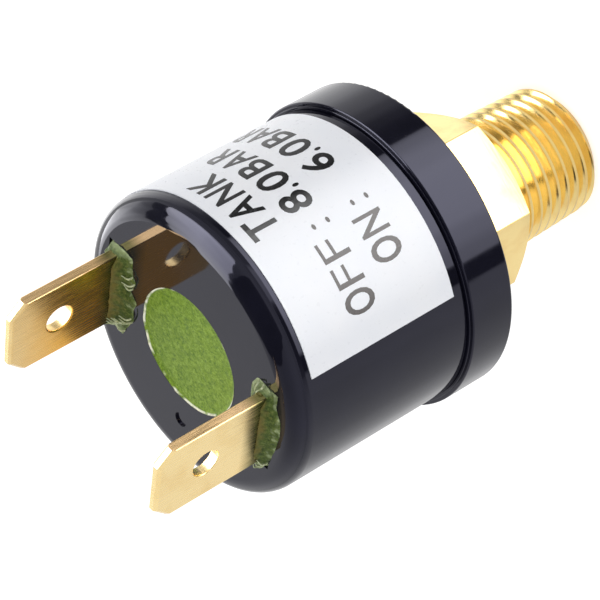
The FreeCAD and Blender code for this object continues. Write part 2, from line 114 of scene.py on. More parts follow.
def ramp(finish, source, stops):
    """A colour ramp from a list of (position, (r, g, b))."""
    node = finish.node_tree.nodes.new("ShaderNodeValToRGB")
    elements = node.color_ramp.elements
    while len(elements) < len(stops):
        elements.new(0.5)
    for element, (position, colour) in zip(elements, stops):
        element.position = position
        element.color = (*colour, 1)
    finish.node_tree.links.new(source, node.inputs["Fac"])
    return node.outputs["Color"]


def span(finish, source, low, high, start=0.3, end=0.7):
    """Map noise between start and end onto values between low and high."""
    node = finish.node_tree.nodes.new("ShaderNodeMapRange")
    for name, value in (("From Min", start), ("From Max", end), ("To Min", low), ("To Max", high)):
        node.inputs[name].default_value = value
    finish.node_tree.links.new(source, node.inputs["Value"])
    return node.outputs["Result"]


def coordinate(finish, axis, kind="Object"):
    """One Object coordinate of the surface, in metres, or one coordinate of another kind."""
    nodes = finish.node_tree.nodes
    place = nodes.new("ShaderNodeTexCoord")
    parts = nodes.new("ShaderNodeSeparateXYZ")
    finish.node_tree.links.new(place.outputs[kind], parts.inputs["Vector"])
    return parts.outputs[axis]


def along(finish, axis, start, end):
    """A value that runs from 0 to 1 between two places along one axis, in metres."""
    return span(finish, coordinate(finish, axis), 0.0, 1.0, start, end)


def calculate(finish, operation, first, second):
    """First and second are sockets or plain numbers."""
    node = finish.node_tree.nodes.new("ShaderNodeMath")
    node.operation = operation
    for socket, value in zip(node.inputs, (first, second)):
        if isinstance(value, (int, float)):
            socket.default_value = value
        else:
            finish.node_tree.links.new(value, socket)
    return node.outputs[0]


def blend(finish, share, first, second):
    """Mix two colours, each a socket or an (r, g, b), by a share from 0 to 1."""
    node = finish.node_tree.nodes.new("ShaderNodeMix")
    node.data_type = "RGBA"
    finish.node_tree.links.new(share, node.inputs["Factor"])
    for socket, value in ((node.inputs[6], first), (node.inputs[7], second)):
        if isinstance(value, tuple):
            socket.default_value = (*value, 1)
        else:
            finish.node_tree.links.new(value, socket)
    return node.outputs[2]


def bump(finish, shader, source, depth):
    node = finish.node_tree.nodes.new("ShaderNodeBump")
    node.inputs["Distance"].default_value = depth
    finish.node_tree.links.new(source, node.inputs["Height"])
    finish.node_tree.links.new(node.outputs["Normal"], shader.inputs["Normal"])


def wire(finish, source, shader, socket):
    finish.node_tree.links.new(source, shader.inputs[socket])


def dress(piece, finish):
    """Give a piece one finish only."""
    piece.data.materials.clear()
    piece.data.materials.append(finish)


def pick(pieces):
    """Select these pieces only; the first one becomes the active one."""
    bpy.ops.object.select_all(action="DESELECT")
    for piece in pieces:
        piece.select_set(True)
    bpy.context.view_layer.objects.active = pieces[0]


def smooth(piece, angle=40):
    pick([piece])
    bpy.ops.object.shade_smooth_by_angle(angle=math.radians(angle))


print("helpers ready")


# %% [markdown]
# The housing and the ring are black and polished.  Black gloss shows only what it mirrors, so its colour
# barely varies; a faint, slow bump and a slightly uneven roughness keep the mirror image from being
# perfect, as moulded plastic and lacquer are.

# %% Black gloss
LACQUER_IOR = 1.4
BLUISH = (0.76, 0.76, 1.0, 1)


def black_gloss(name, colour, roughness, wave):
    finish, shader = new_finish(name, roughness)
    shader.inputs["IOR"].default_value = LACQUER_IOR
    shader.inputs["Specular Tint"].default_value = BLUISH
    lighter = [part * 1.6 for part in colour]
    cloud = grain(finish, 3 * MM, detail=4)
    wire(finish, ramp(finish, cloud, [(0.3, colour), (0.7, lighter)]), shader, "Base Color")
    haze = grain(finish, 0.9 * MM, detail=6, roughness=0.65)
    wire(finish, span(finish, haze, roughness, roughness * 2.2), shader, "Roughness")
    bump(finish, shader, grain(finish, 5 * MM, detail=2), wave)
    return finish


housing_black = black_gloss("housing_black", (0.0035, 0.0035, 0.0075), 0.035, 0.004 * MM)
ring_black = black_gloss("ring_black", (0.004, 0.004, 0.0082), 0.05, 0.006 * MM)
dress(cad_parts["rear_housing"], housing_black)
dress(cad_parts["crimp_ring"], ring_black)
print("black gloss on housing and ring")


# %% [markdown]
# Brass is a metal, so its colour is the colour of its reflection.  The turned fitting is bright and yellow,
# with fine tool marks round its axis; rolled strip is paler, with marks along its length and a little
# tarnish.

# %% Brass
TOOL_MARK_DEPTH = 0.004 * MM


def brass(name, bright, dull, roughness, lines):
    """Lines says how far the marks run along X, Y and Z; returns the finish, its shader and its colour."""
    finish, shader = new_finish(name, roughness, metallic=1.0)
    tarnish = grain(finish, 2.2 * MM, detail=6, roughness=0.6)
    colour = ramp(finish, tarnish, [(0.32, dull), (0.55, bright)])
    wire(finish, colour, shader, "Base Color")
    marks = grain(finish, 0.12 * MM, stretch=lines, detail=4)
    wire(finish, span(finish, marks, roughness * 0.75, roughness * 1.35), shader, "Roughness")
    bump(finish, shader, marks, TOOL_MARK_DEPTH)
    return finish, shader, colour


turned_brass = brass("turned_brass", bright=(0.95, 0.73, 0.31), dull=(0.90, 0.64, 0.25),
                     roughness=0.16, lines=(12, 12, 1))[0]
bridge_brass = brass("bridge_brass", bright=(0.90, 0.68, 0.34), dull=(0.82, 0.58, 0.26),
                     roughness=0.25, lines=(1, 12, 1))[0]
for node in ("port_fitting", "threaded_insert"):
    dress(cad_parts[node], turned_brass)
dress(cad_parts["contact_bridge"], bridge_brass)
print("brass on fitting, insert and bridge")


# %% [markdown]
# The blades are punched from strip, so their narrow edges show a redder break.  Their feet fade to a dark
# green near the face, painted shade where they stand in the epoxy.  Blade a is browner and darker on its
# inner side, and stained brown there, where resin ran down before it set.

# %% Blades
# a browner, darker brass for blade a's inner side, the side that faces -X
INNER_SIDE_BROWN = (0.76, 0.52, 0.22)
PUNCHED_EDGE = (0.84, 0.56, 0.28)
# painted shade: the dark green that the foot of each blade fades to near the rear face
FOOT_SHADE_GREEN = (0.22, 0.20, 0.07)
RUN_TOP = REAR_FACE + 8.4 * MM
RUN_FULL = REAR_FACE + 4.6 * MM
FOOT_SHADE_TOP = REAR_FACE + 2.1 * MM
FOOT_SHADE_FULL = REAR_FACE + 0.9 * MM


def blade_brass(name, bright, dull, stain):
    """Stain is the colour of the resin run on the side that faces -X."""
    finish, shader, colour = brass(name, bright, dull, roughness=0.25, lines=(1, 1, 22))
    slow = grain(finish, 0.9 * MM, stretch=(1, 1, 1.6), detail=5)
    if stain:
        inner_side = along(finish, "X", BLADE_INNER + 0.1 * MM, BLADE_INNER + 0.05 * MM)
        # browner and darker over the inner side, varied by slow noise
        inner_brown = calculate(finish, "MULTIPLY", inner_side, span(finish, slow, 0.55, 0.8))
        colour = blend(finish, inner_brown, colour, INNER_SIDE_BROWN)
        wetted = calculate(finish, "MULTIPLY", inner_side, along(finish, "Z", RUN_TOP, RUN_FULL))
        run = calculate(finish, "MULTIPLY", wetted, span(finish, slow, 0.85, 1.15))
        colour = blend(finish, run, colour, stain)
    off_middle = calculate(finish, "ABSOLUTE", coordinate(finish, "Y"), 0)
    edge = span(finish, off_middle, 0.0, 0.85, BLADE_HALF_WIDTH - 0.06 * MM, BLADE_HALF_WIDTH - 0.02 * MM)
    colour = blend(finish, edge, colour, PUNCHED_EDGE)
    # painted shade, darkening the foot of each blade towards the rear face
    foot_shade = calculate(finish, "MULTIPLY", along(finish, "Z", FOOT_SHADE_TOP, FOOT_SHADE_FULL),
                       span(finish, slow, 0.8, 1.2))
    wire(finish, blend(finish, foot_shade, colour, FOOT_SHADE_GREEN), shader, "Base Color")
    dress(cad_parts[name], finish)


blade_brass("terminal_a", (0.93, 0.70, 0.34), (0.85, 0.60, 0.26), (0.88, 0.47, 0.08))
blade_brass("terminal_b", (0.99, 0.77, 0.38), (0.93, 0.69, 0.31), None)
print("blades in strip brass")


# %% [markdown]
# The pieces inside are hidden, but the model is also taken apart, so each gets its own finish: bright
# silver contacts, spring steel with a straw tint, plated steel, rubber, a phenolic brown, white ceramic and
# an amber film.

# %% Finishes of the inner pieces
def inner_finish(name, light, dark, roughness, metallic=0.0, size=0.6, depth=0.004):
    finish, shader = new_finish(name, roughness, metallic)
    cloud = grain(finish, size * MM, detail=5)
    wire(finish, ramp(finish, cloud, [(0.35, dark), (0.65, light)]), shader, "Base Color")
    wire(finish, span(finish, cloud, roughness * 0.8, roughness * 1.3), shader, "Roughness")
    bump(finish, shader, grain(finish, size * MM / 4, detail=3), depth * MM)
    return finish


INNER = {
    inner_finish("silver", (0.93, 0.92, 0.89), (0.80, 0.79, 0.76), 0.25, 1.0):
        ["fixed_contact_a", "fixed_contact_b", "moving_contact_a", "moving_contact_b"],
    inner_finish("spring_steel", (0.62, 0.60, 0.56), (0.50, 0.46, 0.40), 0.28, 1.0):
        ["snap_disc", "contact_spring"],
    inner_finish("plated_steel", (0.70, 0.70, 0.68), (0.55, 0.55, 0.52), 0.35, 1.0):
        ["spring_seat", "calibration_screw"],
    inner_finish("seal_rubber", (0.035, 0.035, 0.036), (0.020, 0.020, 0.021), 0.65, size=0.3, depth=0.01):
        ["pressure_seal", "housing_gasket"],
    inner_finish("phenolic", (0.20, 0.095, 0.045), (0.13, 0.060, 0.030), 0.42, size=0.4):
        ["disc_seat", "contact_carrier"],
    inner_finish("ceramic", (0.86, 0.84, 0.79), (0.78, 0.76, 0.70), 0.38, size=0.3):
        ["push_pin"],
    inner_finish("amber_film", (0.55, 0.30, 0.06), (0.42, 0.20, 0.03), 0.22, size=0.5):
        ["diaphragm"],
}
for finish, names in INNER.items():
    for node in names:
        dress(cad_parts[node], finish)
print("inner finishes:", len(INNER))

# %% [markdown]
# The contact spring shortens when the bridge lifts.  Shape keys or an armature could do that; here a copy
# of the solid model's coil, with its loose triangles merged, stands in for it.

# %% Contact spring
coil = bpy.data.objects.new("contact_coil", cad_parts["contact_spring"].data.copy())
bpy.context.collection.objects.link(coil)
pick([coil])
bpy.ops.object.mode_set(mode="EDIT")
bpy.ops.mesh.select_all(action="SELECT")
bpy.ops.mesh.remove_doubles(threshold=0.001 * MM)
bpy.ops.object.mode_set(mode="OBJECT")
smooth(coil)
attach(coil, "switch_body")
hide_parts("contact_spring")
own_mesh(coil)

# %% [markdown]
# ## The label
# A vinyl label: white with a cool tint, smoother than paper, with a faint bump.  A picture could carry the
# colour, but noise needs no file and has no seam, so the stock is two close whites.

# %% Label stock
label_white, shader = new_finish("label_white", 0.30)
stock = grain(label_white, 4 * MM, detail=3)
whites = ramp(label_white, stock, [(0.3, (0.86, 0.88, 0.93)), (0.7, (0.90, 0.91, 0.94))])
wire(label_white, whites, shader, "Base Color")
fibre = grain(label_white, 0.25 * MM, detail=5)
wire(label_white, span(label_white, fibre, 0.26, 0.38), shader, "Roughness")
bump(label_white, shader, fibre, 0.003 * MM)
dress(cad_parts["label"], label_white)
print("label stock ready")

# %% [markdown]
# The print is modelled, so that it survives in the meshes: each letter is a text object with a little
# depth, made a mesh, cut finely enough to bend, and wrapped round the label between two angles.  Letters
# laid one by one can be as narrow and as widely spaced as a label printer's.  The words and numbers are
# plain ones that a switch of this kind could carry.

# %% Ink
INK_DEPTH = 0.012 * MM


def ink(name, colour):
    finish, shader = new_finish(name, 0.2)
    lighter = [part * 1.4 for part in colour]
    cloud = grain(finish, 0.5 * MM, detail=5)
    wire(finish, ramp(finish, cloud, [(0.3, colour), (0.7, lighter)]), shader, "Base Color")
    wire(finish, span(finish, cloud, 0.16, 0.3), shader, "Roughness")
    return finish


print_ink = ink("print_ink", (0.006, 0.006, 0.007))
print_ink_grey = ink("print_ink_grey", (0.050, 0.042, 0.040))
print("two inks ready")


# %% Letters
def letter_mesh(character, weight):
    """One letter as a flat, slightly thick mesh, in the font's own units."""
    bpy.ops.object.select_all(action="DESELECT")
    bpy.ops.object.text_add()
    letter = bpy.context.object
    letter.data.body = character
    letter.data.offset = weight
    letter.data.extrude = 0.5
    letter.data.resolution_u = 4
    bpy.ops.object.convert(target="MESH")
    letter = bpy.context.object
    bpy.ops.object.mode_set(mode="EDIT")
    bpy.ops.mesh.select_all(action="SELECT")
    bpy.ops.mesh.remove_doubles(threshold=0.0001)
    bpy.ops.mesh.quads_convert_to_tris()
    bpy.ops.mesh.subdivide(number_cuts=2)
    bpy.ops.object.mode_set(mode="OBJECT")
    return letter


capital = letter_mesh("H", 0)
CAPITAL_HEIGHT = max(vertex.co.y for vertex in capital.data.vertices)
bpy.data.objects.remove(capital)
print("a capital is", round(CAPITAL_HEIGHT, 3), "units high")


def print_line(name, letters, baseline, height, weight, finish):
    """Each letter is (character, first angle, last angle, extra weight), in degrees round the label."""
    pieces = []
    for character, first, last, extra in letters:
        letter = letter_mesh(character, weight + extra)
        left = min(vertex.co.x for vertex in letter.data.vertices)
        right = max(vertex.co.x for vertex in letter.data.vertices)
        for vertex in letter.data.vertices:
            share = (vertex.co.x - left) / (right - left)
            angle = math.radians(first + (last - first) * share)
            radius = LABEL_RADIUS + (INK_DEPTH if vertex.co.z > 0 else -INK_DEPTH)
            vertex.co = (radius * math.cos(angle), radius * math.sin(angle),
                         baseline + vertex.co.y * height / CAPITAL_HEIGHT)
        pieces.append(letter)
    pick(pieces)
    if len(pieces) > 1:
        bpy.ops.object.join()
    line = bpy.context.object
    line.name = name
    dress(line, finish)
    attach(line, "switch_body")
    print(name, len(line.data.polygons), "faces")


# %% [markdown]
# The lines are placed by height on the label and by the angles at which each letter starts and ends.  The
# values are heavier than the words before them, and the colons lighter than both.

# %% Lines of print
TITLE_LEVEL = 28.6 * MM
OFF_LEVEL = 25.4 * MM
ON_LEVEL = 21.95 * MM
LETTER_HEIGHT = 2.22 * MM
COLON_HEIGHT = 2.3 * MM
TITLE_WEIGHT = 0.018
VALUE_WEIGHT = 0.016
WORD_WEIGHT = 0.004
COLON_WEIGHT = -0.02
print_line("print_title", [("T", -102.0, -93.7, 0), ("A", -92.8, -84.0, 0), ("N", -82.4, -74.6, 0),
                           ("K", -72.6, -64.4, 0)], TITLE_LEVEL, LETTER_HEIGHT, TITLE_WEIGHT, print_ink)
print_line("print_off", [("O", -140.4, -132.0, 0.016), ("F", -130.0, -122.6, -0.012),
                         ("F", -120.2, -112.7, -0.012)],
           OFF_LEVEL, LETTER_HEIGHT, WORD_WEIGHT, print_ink_grey)
print_line("print_off_colon", [(":", -108.0, -105.7, 0)],
           OFF_LEVEL, COLON_HEIGHT, COLON_WEIGHT, print_ink_grey)
print_line("print_off_value", [("8", -99.4, -91.6, 0), (".", -90.4, -88.9, 0), ("0", -87.6, -79.6, 0),
                               ("B", -77.4, -69.8, 0), ("A", -69.2, -60.6, 0), ("R", -59.0, -51.2, 0)],
           OFF_LEVEL, LETTER_HEIGHT, VALUE_WEIGHT, print_ink)
print_line("print_on", [("O", -129.5, -121.1, 0.016), ("N", -119.2, -111.3, 0.008)],
           ON_LEVEL, LETTER_HEIGHT, WORD_WEIGHT, print_ink_grey)
print_line("print_on_colon", [(":", -107.0, -104.7, 0)],
           ON_LEVEL, COLON_HEIGHT, COLON_WEIGHT, print_ink_grey)
print_line("print_on_value", [("6", -90.0, -82.2, 0), (".", -81.0, -79.5, 0), ("0", -78.2, -70.2, 0),
                              ("B", -68.0, -60.4, 0), ("A", -59.8, -51.2, 0), ("R", -49.6, -41.8, 0)],
           ON_LEVEL, LETTER_HEIGHT, VALUE_WEIGHT, print_ink)

# %% [markdown]
# ## Epoxy
# Two-part epoxy seals the adjusting screw and the blades.  It is green, slightly translucent and full of
# fine filler, which gives it a speckled look; where it wets a wall it climbs into a thin, pale rim.  The
# plug's rim is found by its distance from the axis, and noise breaks it into patches.

# %% Epoxy finishes
EPOXY_IOR = 1.3


def new_epoxy(name, dark, middle, light, speck, depth):
    """Speckled green with a little light passing through it; returns finish, shader and colour."""
    finish, shader = new_finish(name, 0.5)
    shader.inputs["IOR"].default_value = EPOXY_IOR
    shader.inputs["Specular IOR Level"].default_value = 0.3
    filler = grain(finish, speck, detail=8, roughness=0.8)
    colour = ramp(finish, filler, [(0.40, dark), (0.50, middle), (0.61, light)])
    wire(finish, span(finish, filler, 0.38, 0.6), shader, "Roughness")
    shader.inputs["Subsurface Weight"].default_value = 0.05
    shader.inputs["Subsurface Radius"].default_value = (0.4, 0.6, 0.2)
    shader.inputs["Subsurface Scale"].default_value = 0.4 * MM
    bump(finish, shader, filler, depth)
    return finish, shader, colour


def axis_distance(finish):
    """Distance from the switch's axis, in metres."""
    nodes = finish.node_tree.nodes
    place = nodes.new("ShaderNodeTexCoord")
    flat = nodes.new("ShaderNodeVectorMath")
    flat.operation = "MULTIPLY"
    flat.inputs[1].default_value = (1, 1, 0)
    length = nodes.new("ShaderNodeVectorMath")
    length.operation = "LENGTH"
    finish.node_tree.links.new(place.outputs["Object"], flat.inputs[0])
    finish.node_tree.links.new(flat.outputs["Vector"], length.inputs[0])
    return length.outputs["Value"]


RIM_PALE = (0.82, 0.83, 0.72)
plug_green, shader, colour = new_epoxy(
    "plug_green", dark=(0.065, 0.135, 0.005), middle=(0.145, 0.250, 0.016), light=(0.250, 0.370, 0.055),
    speck=0.22 * MM, depth=0.03 * MM)
distance = axis_distance(plug_green)
rim = span(plug_green, distance, 0.0, 1.0, PLUG_RADIUS - 0.14 * MM, PLUG_RADIUS - 0.08 * MM)
broken = span(plug_green, grain(plug_green, 1.2 * MM, detail=6), 0.0, 1.0, 0.45, 0.55)
patches = calculate(plug_green, "MULTIPLY", rim, broken)
wire(plug_green, blend(plug_green, patches, colour, RIM_PALE), shader, "Base Color")
print("plug finish ready")


# %% [markdown]
# The plug is poured into the well, so it is flat in the middle and climbs the wall in a small meniscus.  It
# starts as a cylinder; its top is inset again and again into rings, close together near the wall, and the
# rings are then raised and roughened like a surface that has set.

# %% Epoxy plug
RING_WIDTHS = [0.05] * 6 + [0.1] * 4 + [0.2] * 18   # mm, from the wall inwards
RIM_CLIMB = 0.16 * MM
RIM_WIDTH = 0.12 * MM
RIPPLE_SIZE, RIPPLE_DEPTH = 0.5 * MM, 0.025 * MM
WAVE_SIZE, WAVE_DEPTH, WAVE_WIDTH = 1.3 * MM, 0.05 * MM, 0.2 * MM
bpy.ops.object.select_all(action="DESELECT")
bpy.ops.mesh.primitive_cylinder_add(vertices=160, radius=PLUG_RADIUS, depth=WELL_DEPTH,
                                    location=(0, 0, REAR_FACE - WELL_DEPTH / 2))
plug = bpy.context.object
plug.name = "epoxy_pour"
bpy.ops.object.transform_apply(location=True)
bpy.ops.object.mode_set(mode="EDIT")
bpy.ops.mesh.select_all(action="DESELECT")
bpy.ops.object.mode_set(mode="OBJECT")
for face in plug.data.polygons:
    face.select = face.normal.z > 0.5
bpy.ops.object.mode_set(mode="EDIT")
bpy.context.tool_settings.mesh_select_mode = (False, False, True)
for width in RING_WIDTHS:
    bpy.ops.mesh.inset(thickness=width * MM, depth=0)
bpy.ops.mesh.poke()
bpy.ops.object.mode_set(mode="OBJECT")
for vertex in plug.data.vertices:
    if vertex.co.z > REAR_FACE - WELL_DEPTH / 2:
        distance = Vector(vertex.co[:2]).length
        climb = RIM_CLIMB * math.exp((distance - PLUG_RADIUS) / RIM_WIDTH)
        ripple = noise.noise(vertex.co / RIPPLE_SIZE) * RIPPLE_DEPTH
        wave = noise.noise(vertex.co / WAVE_SIZE) * WAVE_DEPTH if distance > PLUG_RADIUS - WAVE_WIDTH else 0
        vertex.co.z += climb - RIM_CLIMB + ripple + wave
dress(plug, plug_green)
smooth(plug)
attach(plug, "switch_body")
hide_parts("epoxy_plug")
print("epoxy plug:", len(plug.data.polygons), "faces")

# %% [markdown]
# Round each blade the epoxy was pushed in by hand.  It climbs the blade in a thin dark film and ends on the
# housing in a torn foot, pale where it is thin or frayed.  Colour follows height above the face, and
# whitens beyond the blade's two ends.

# %% Collar finish
DRY_FILM = (0.16, 0.115, 0.028)
TORN_PALE = (0.36, 0.43, 0.23)
COLLAR_TOP = REAR_FACE + 1.1 * MM
collar_green, shader, colour = new_epoxy(
    "collar_green", dark=(0.030, 0.048, 0.010), middle=(0.062, 0.096, 0.018), light=(0.13, 0.17, 0.045),
    speck=0.25 * MM, depth=0.03 * MM)
wobble = span(collar_green, grain(collar_green, 0.5 * MM, detail=6), -0.22, 0.22)
level = calculate(collar_green, "ADD", along(collar_green, "Z", REAR_FACE, COLLAR_TOP), wobble)
film = span(collar_green, level, 0.0, 1.0, 0.30, 0.95)
foot_pale = span(collar_green, level, 1.0, 0.0, -0.06, 0.10)
off_middle = calculate(collar_green, "ABSOLUTE", coordinate(collar_green, "Y"), 0)
beyond = span(collar_green, off_middle, 0.0, 1.0, BLADE_HALF_WIDTH, BLADE_HALF_WIDTH + 0.45 * MM)
frayed = span(collar_green, grain(collar_green, 0.35 * MM, detail=6), 0.25, 1.0)
pale = calculate(collar_green, "MULTIPLY", calculate(collar_green, "MAXIMUM", foot_pale, beyond), frayed)
colour = blend(collar_green, film, colour, DRY_FILM)
wire(collar_green, blend(collar_green, pale, colour, TORN_PALE), shader, "Base Color")
print("collar finish ready")


# %% [markdown]
# A collar starts as a bare circle of edges, extruded upwards into a stack of rings and bridged from the last
# ring to the first, so it is one closed skin.  Each ring is then laid where it belongs: inside the blade,
# up the film, out to the torn foot, and down into the funnel that the housing has round each blade.  Two
# helpers find a point on the blade's section and on the foot's outline.

# %% Outlines
def on_section(share, half_x, half_y):
    """A point on a rectangle's edge, by its share of the way round from the middle of the +X side."""
    way = share * 4 * (half_x + half_y)
    for start, end in (((half_x, 0), (half_x, half_y)), ((half_x, half_y), (-half_x, half_y)),
                       ((-half_x, half_y), (-half_x, -half_y)), ((-half_x, -half_y), (half_x, -half_y)),
                       ((half_x, -half_y), (half_x, 0))):
        length = math.dist(start, end)
        if way <= length:
            return Vector(start).lerp(Vector(end), way / length)
        way -= length
    return Vector((half_x, 0))


def on_outline(share, corners):
    """A point on a closed outline, by its share of the way round from the first corner."""
    loop = corners + corners[:1]
    lengths = [math.dist(a, b) for a, b in zip(loop, loop[1:])]
    way = share * sum(lengths)
    for start, end, length in zip(loop, loop[1:], lengths):
        if way <= length:
            return Vector(start).lerp(Vector(end), way / length)
        way -= length
    return Vector(corners[0])


print("outline helpers ready")


# %% Epoxy collar
RINGS = 10
RING_POINTS = 96
RING_STEP = 1 * MM
# half sizes along X and Y: the film on the blade, the core inside the blade, the funnel in the housing
FILM = (BLADE_THICKNESS / 2 + 0.01 * MM, BLADE_HALF_WIDTH + 0.01 * MM)
CORE = (0.2 * MM, 2.9 * MM)
FUNNEL = (0.95 * MM, 3.55 * MM)
FUNNEL_FLOOR = 0.05 * MM - FUNNEL_DEPTH


def ring_places(share, middle, foot, climb):
    """For one share of the way round, each ring's flat place and its height above the face."""
    film = on_section(share, *FILM)
    core = on_section(share, *CORE)
    funnel = on_section(share, *FUNNEL)
    rough = noise.noise(Vector((film.x, film.y, middle)) / (0.3 * MM))
    torn = (on_outline(share, foot) * MM - Vector((middle, 0))) * (1 + 0.03 * rough)
    top = climb * (0.45 + 0.55 * min(1, (FILM[1] - abs(film.y)) / (0.8 * MM))) * (1 + 0.08 * rough)
    return [(core, FUNNEL_FLOOR), (core, 0.3 * MM), (film, top), (film.lerp(torn, 0.08), top * 0.72),
            (film.lerp(torn, 0.26), top * 0.42), (film.lerp(torn, 0.62), top * 0.24), (torn, 0.03 * MM),
            (torn * 0.97, -0.08 * MM), (funnel, -0.12 * MM), (funnel, FUNNEL_FLOOR)]


def collar(name, middle, foot, climb, node):
    """Middle is the blade's place along X; foot is the torn outline in mm; climb is the film's height."""
    bpy.ops.object.select_all(action="DESELECT")
    bpy.ops.mesh.primitive_circle_add(vertices=RING_POINTS, radius=1 * MM, location=(0, 0, 0))
    piece = bpy.context.object
    piece.name = name
    bpy.ops.object.mode_set(mode="EDIT")
    bpy.context.tool_settings.mesh_select_mode = (False, True, False)
    bpy.ops.mesh.select_all(action="SELECT")
    for _ in range(RINGS - 1):
        bpy.ops.mesh.extrude_edges_move(TRANSFORM_OT_translate={"value": (0, 0, RING_STEP)})
    bpy.ops.object.mode_set(mode="OBJECT")
    last = (RINGS - 1) * RING_STEP
    for part in (*piece.data.vertices, *piece.data.polygons):
        part.select = False
    for edge in piece.data.edges:
        heights = [piece.data.vertices[i].co.z for i in edge.vertices]
        edge.select = max(heights) < RING_STEP / 2 or min(heights) > last - RING_STEP / 2
    bpy.ops.object.mode_set(mode="EDIT")
    bpy.ops.mesh.bridge_edge_loops()
    bpy.ops.object.mode_set(mode="OBJECT")
    for vertex in piece.data.vertices:
        ring = round(vertex.co.z / RING_STEP)
        share = (math.atan2(vertex.co.y, vertex.co.x) / (2 * math.pi)) % 1.0
        flat, level = ring_places(share, middle, foot, climb)[ring]
        vertex.co = (middle + flat.x, flat.y, REAR_FACE + level)
    bpy.ops.object.mode_set(mode="EDIT")
    bpy.ops.mesh.select_all(action="SELECT")
    bpy.ops.mesh.normals_make_consistent(inside=False)
    bpy.ops.object.mode_set(mode="OBJECT")
    skin = piece.modifiers.new("skin", "SUBSURF")
    skin.levels = skin.render_levels = 2
    bpy.ops.object.modifier_apply(modifier="skin")
    for vertex in piece.data.vertices:
        above = vertex.co.z - REAR_FACE
        if above > 0.01 * MM:
            spot = vertex.co / MM
            push = (noise.noise(spot * 1.8) * 0.05 + noise.noise(spot * 7) * 0.018) * MM
            vertex.co += vertex.normal * push * min(1, (climb * 1.1 - above) / (0.3 * MM))
    dress(piece, collar_green)
    smooth(piece, 60)
    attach(piece, "switch_body")
    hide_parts(node)
    print(name, len(piece.data.polygons), "faces")


# the torn outlines, x and y in mm
FOOT_A = [(9.1, 0), (9.0, 1.6), (8.7, 3.2), (7.9, 4.0), (7.1, 3.9), (6.4, 4.25), (6.2, 3.3), (5.4, 2.0),
          (5.6, 1.2), (5.3, 0.1), (6.1, -0.6), (5.5, -1.6), (5.95, -2.2), (6.1, -3.6), (7.2, -3.75),
          (8.3, -3.6), (9.0, -2.0)]
FOOT_B = [(-6.3, 0), (-6.3, 1.8), (-6.6, 3.4), (-7.35, 3.9), (-7.95, 4.2), (-8.3, 3.6), (-8.7, 2.6),
          (-9.05, 1.5), (-9.3, -0.4), (-9.2, -1.6), (-8.45, -2.8), (-7.9, -3.65), (-6.5, -3.75),
          (-6.1, -2.8), (-6.15, -2.0), (-6.2, -1.0)]
collar("epoxy_skirt_a", BLADE_MIDDLE, FOOT_A, 1.05 * MM, "epoxy_collar_a")
collar("epoxy_skirt_b", -BLADE_MIDDLE, FOOT_B, 0.95 * MM, "epoxy_collar_b")

# %% [markdown]
# Where the epoxy was pulled away it left pale threads.  One thread is a thin cone, divided along its length
# and bent; each thread laid is a copy of it with its own mesh, turned and put where the epoxy frayed.

# %% Epoxy threads
THREAD_SWAY = 0.10 * MM
THREAD_ARCH = 0.16 * MM
THREAD_LIFT = 0.02 * MM
thread_pale, shader, colour = new_epoxy(
    "thread_pale", dark=(0.22, 0.26, 0.12), middle=(0.42, 0.47, 0.28), light=(0.62, 0.66, 0.48),
    speck=0.2 * MM, depth=0.02 * MM)
wire(thread_pale, colour, shader, "Base Color")
bpy.ops.object.select_all(action="DESELECT")
bpy.ops.mesh.primitive_cone_add(vertices=7, radius1=0.09 * MM, radius2=0.03 * MM, depth=1 * MM,
                                rotation=(0, math.radians(90), 0))
first_thread = bpy.context.object
bpy.ops.object.transform_apply(rotation=True)
bpy.ops.object.mode_set(mode="EDIT")
bpy.ops.mesh.select_all(action="SELECT")
bpy.ops.mesh.subdivide(number_cuts=5)
bpy.ops.object.mode_set(mode="OBJECT")
for vertex in first_thread.data.vertices:
    share = vertex.co.x / MM + 0.5
    vertex.co.y += THREAD_SWAY * math.sin(share * 5.0)
    vertex.co.z += THREAD_ARCH * math.sin(share * math.pi)
    vertex.co.x += 0.5 * MM   # so that it turns about its thick end


def lay_threads(name, places):
    """Each place is x, y in mm, a bearing and a rise in degrees, and a length in mm."""
    threads = []
    for x, y, bearing, rise, length in places:
        copy = first_thread.copy()
        copy.data = first_thread.data.copy()
        bpy.context.collection.objects.link(copy)
        copy.data.transform(Matrix.Translation((x * MM, y * MM, REAR_FACE + THREAD_LIFT))
                            @ Matrix.Rotation(math.radians(bearing), 4, "Z")
                            @ Matrix.Rotation(math.radians(-rise), 4, "Y")
                            @ Matrix.Diagonal((length, 1, 1, 1)))
        threads.append(copy)
    pick(threads)
    bpy.ops.object.join()
    piece = bpy.context.object
    piece.name = name
    dress(piece, thread_pale)
    smooth(piece)
    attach(piece, "switch_body")
    print(name, "with", len(places), "threads")


lay_threads("epoxy_threads_a", [
    (7.5, 3.75, -60, 62, 1.3), (7.1, 3.5, -40, 50, 1.2), (6.8, 3.2, -30, 55, 1.2), (6.5, 2.9, -20, 48, 1.3),
    (6.2, 2.6, -35, 52, 1.2), (5.9, 2.4, -10, 45, 1.1), (5.6, 2.1, -25, 50, 1.0), (5.7, 1.8, 10, 38, 0.9),
    (6.3, 3.6, -50, 30, 0.9), (5.7, -1.5, 10, 40, 0.9), (5.95, -2.0, 20, 35, 0.8),
    (5.8, -1.0, -15, 40, 0.7)])
lay_threads("epoxy_threads_b", [
    (-7.6, 3.9, -100, 40, 0.8), (-7.9, 4.0, -80, 45, 0.9), (-8.2, 3.6, -60, 45, 0.9),
    (-8.5, 3.1, -30, 45, 0.8), (-6.8, -3.6, 120, 40, 0.8), (-7.3, -3.6, 90, 50, 0.8)])
bpy.data.objects.remove(first_thread)


# %% [markdown]
# ## Studio
# The switch stands on its thread on a white floor, in a white tent.  Gloss and metal show what is round
# them, so the tent's bright panels and dark gaps matter more than the lamps.  Panels are seen only by
# glossy rays: they shape the reflections and throw no light on matt surfaces.

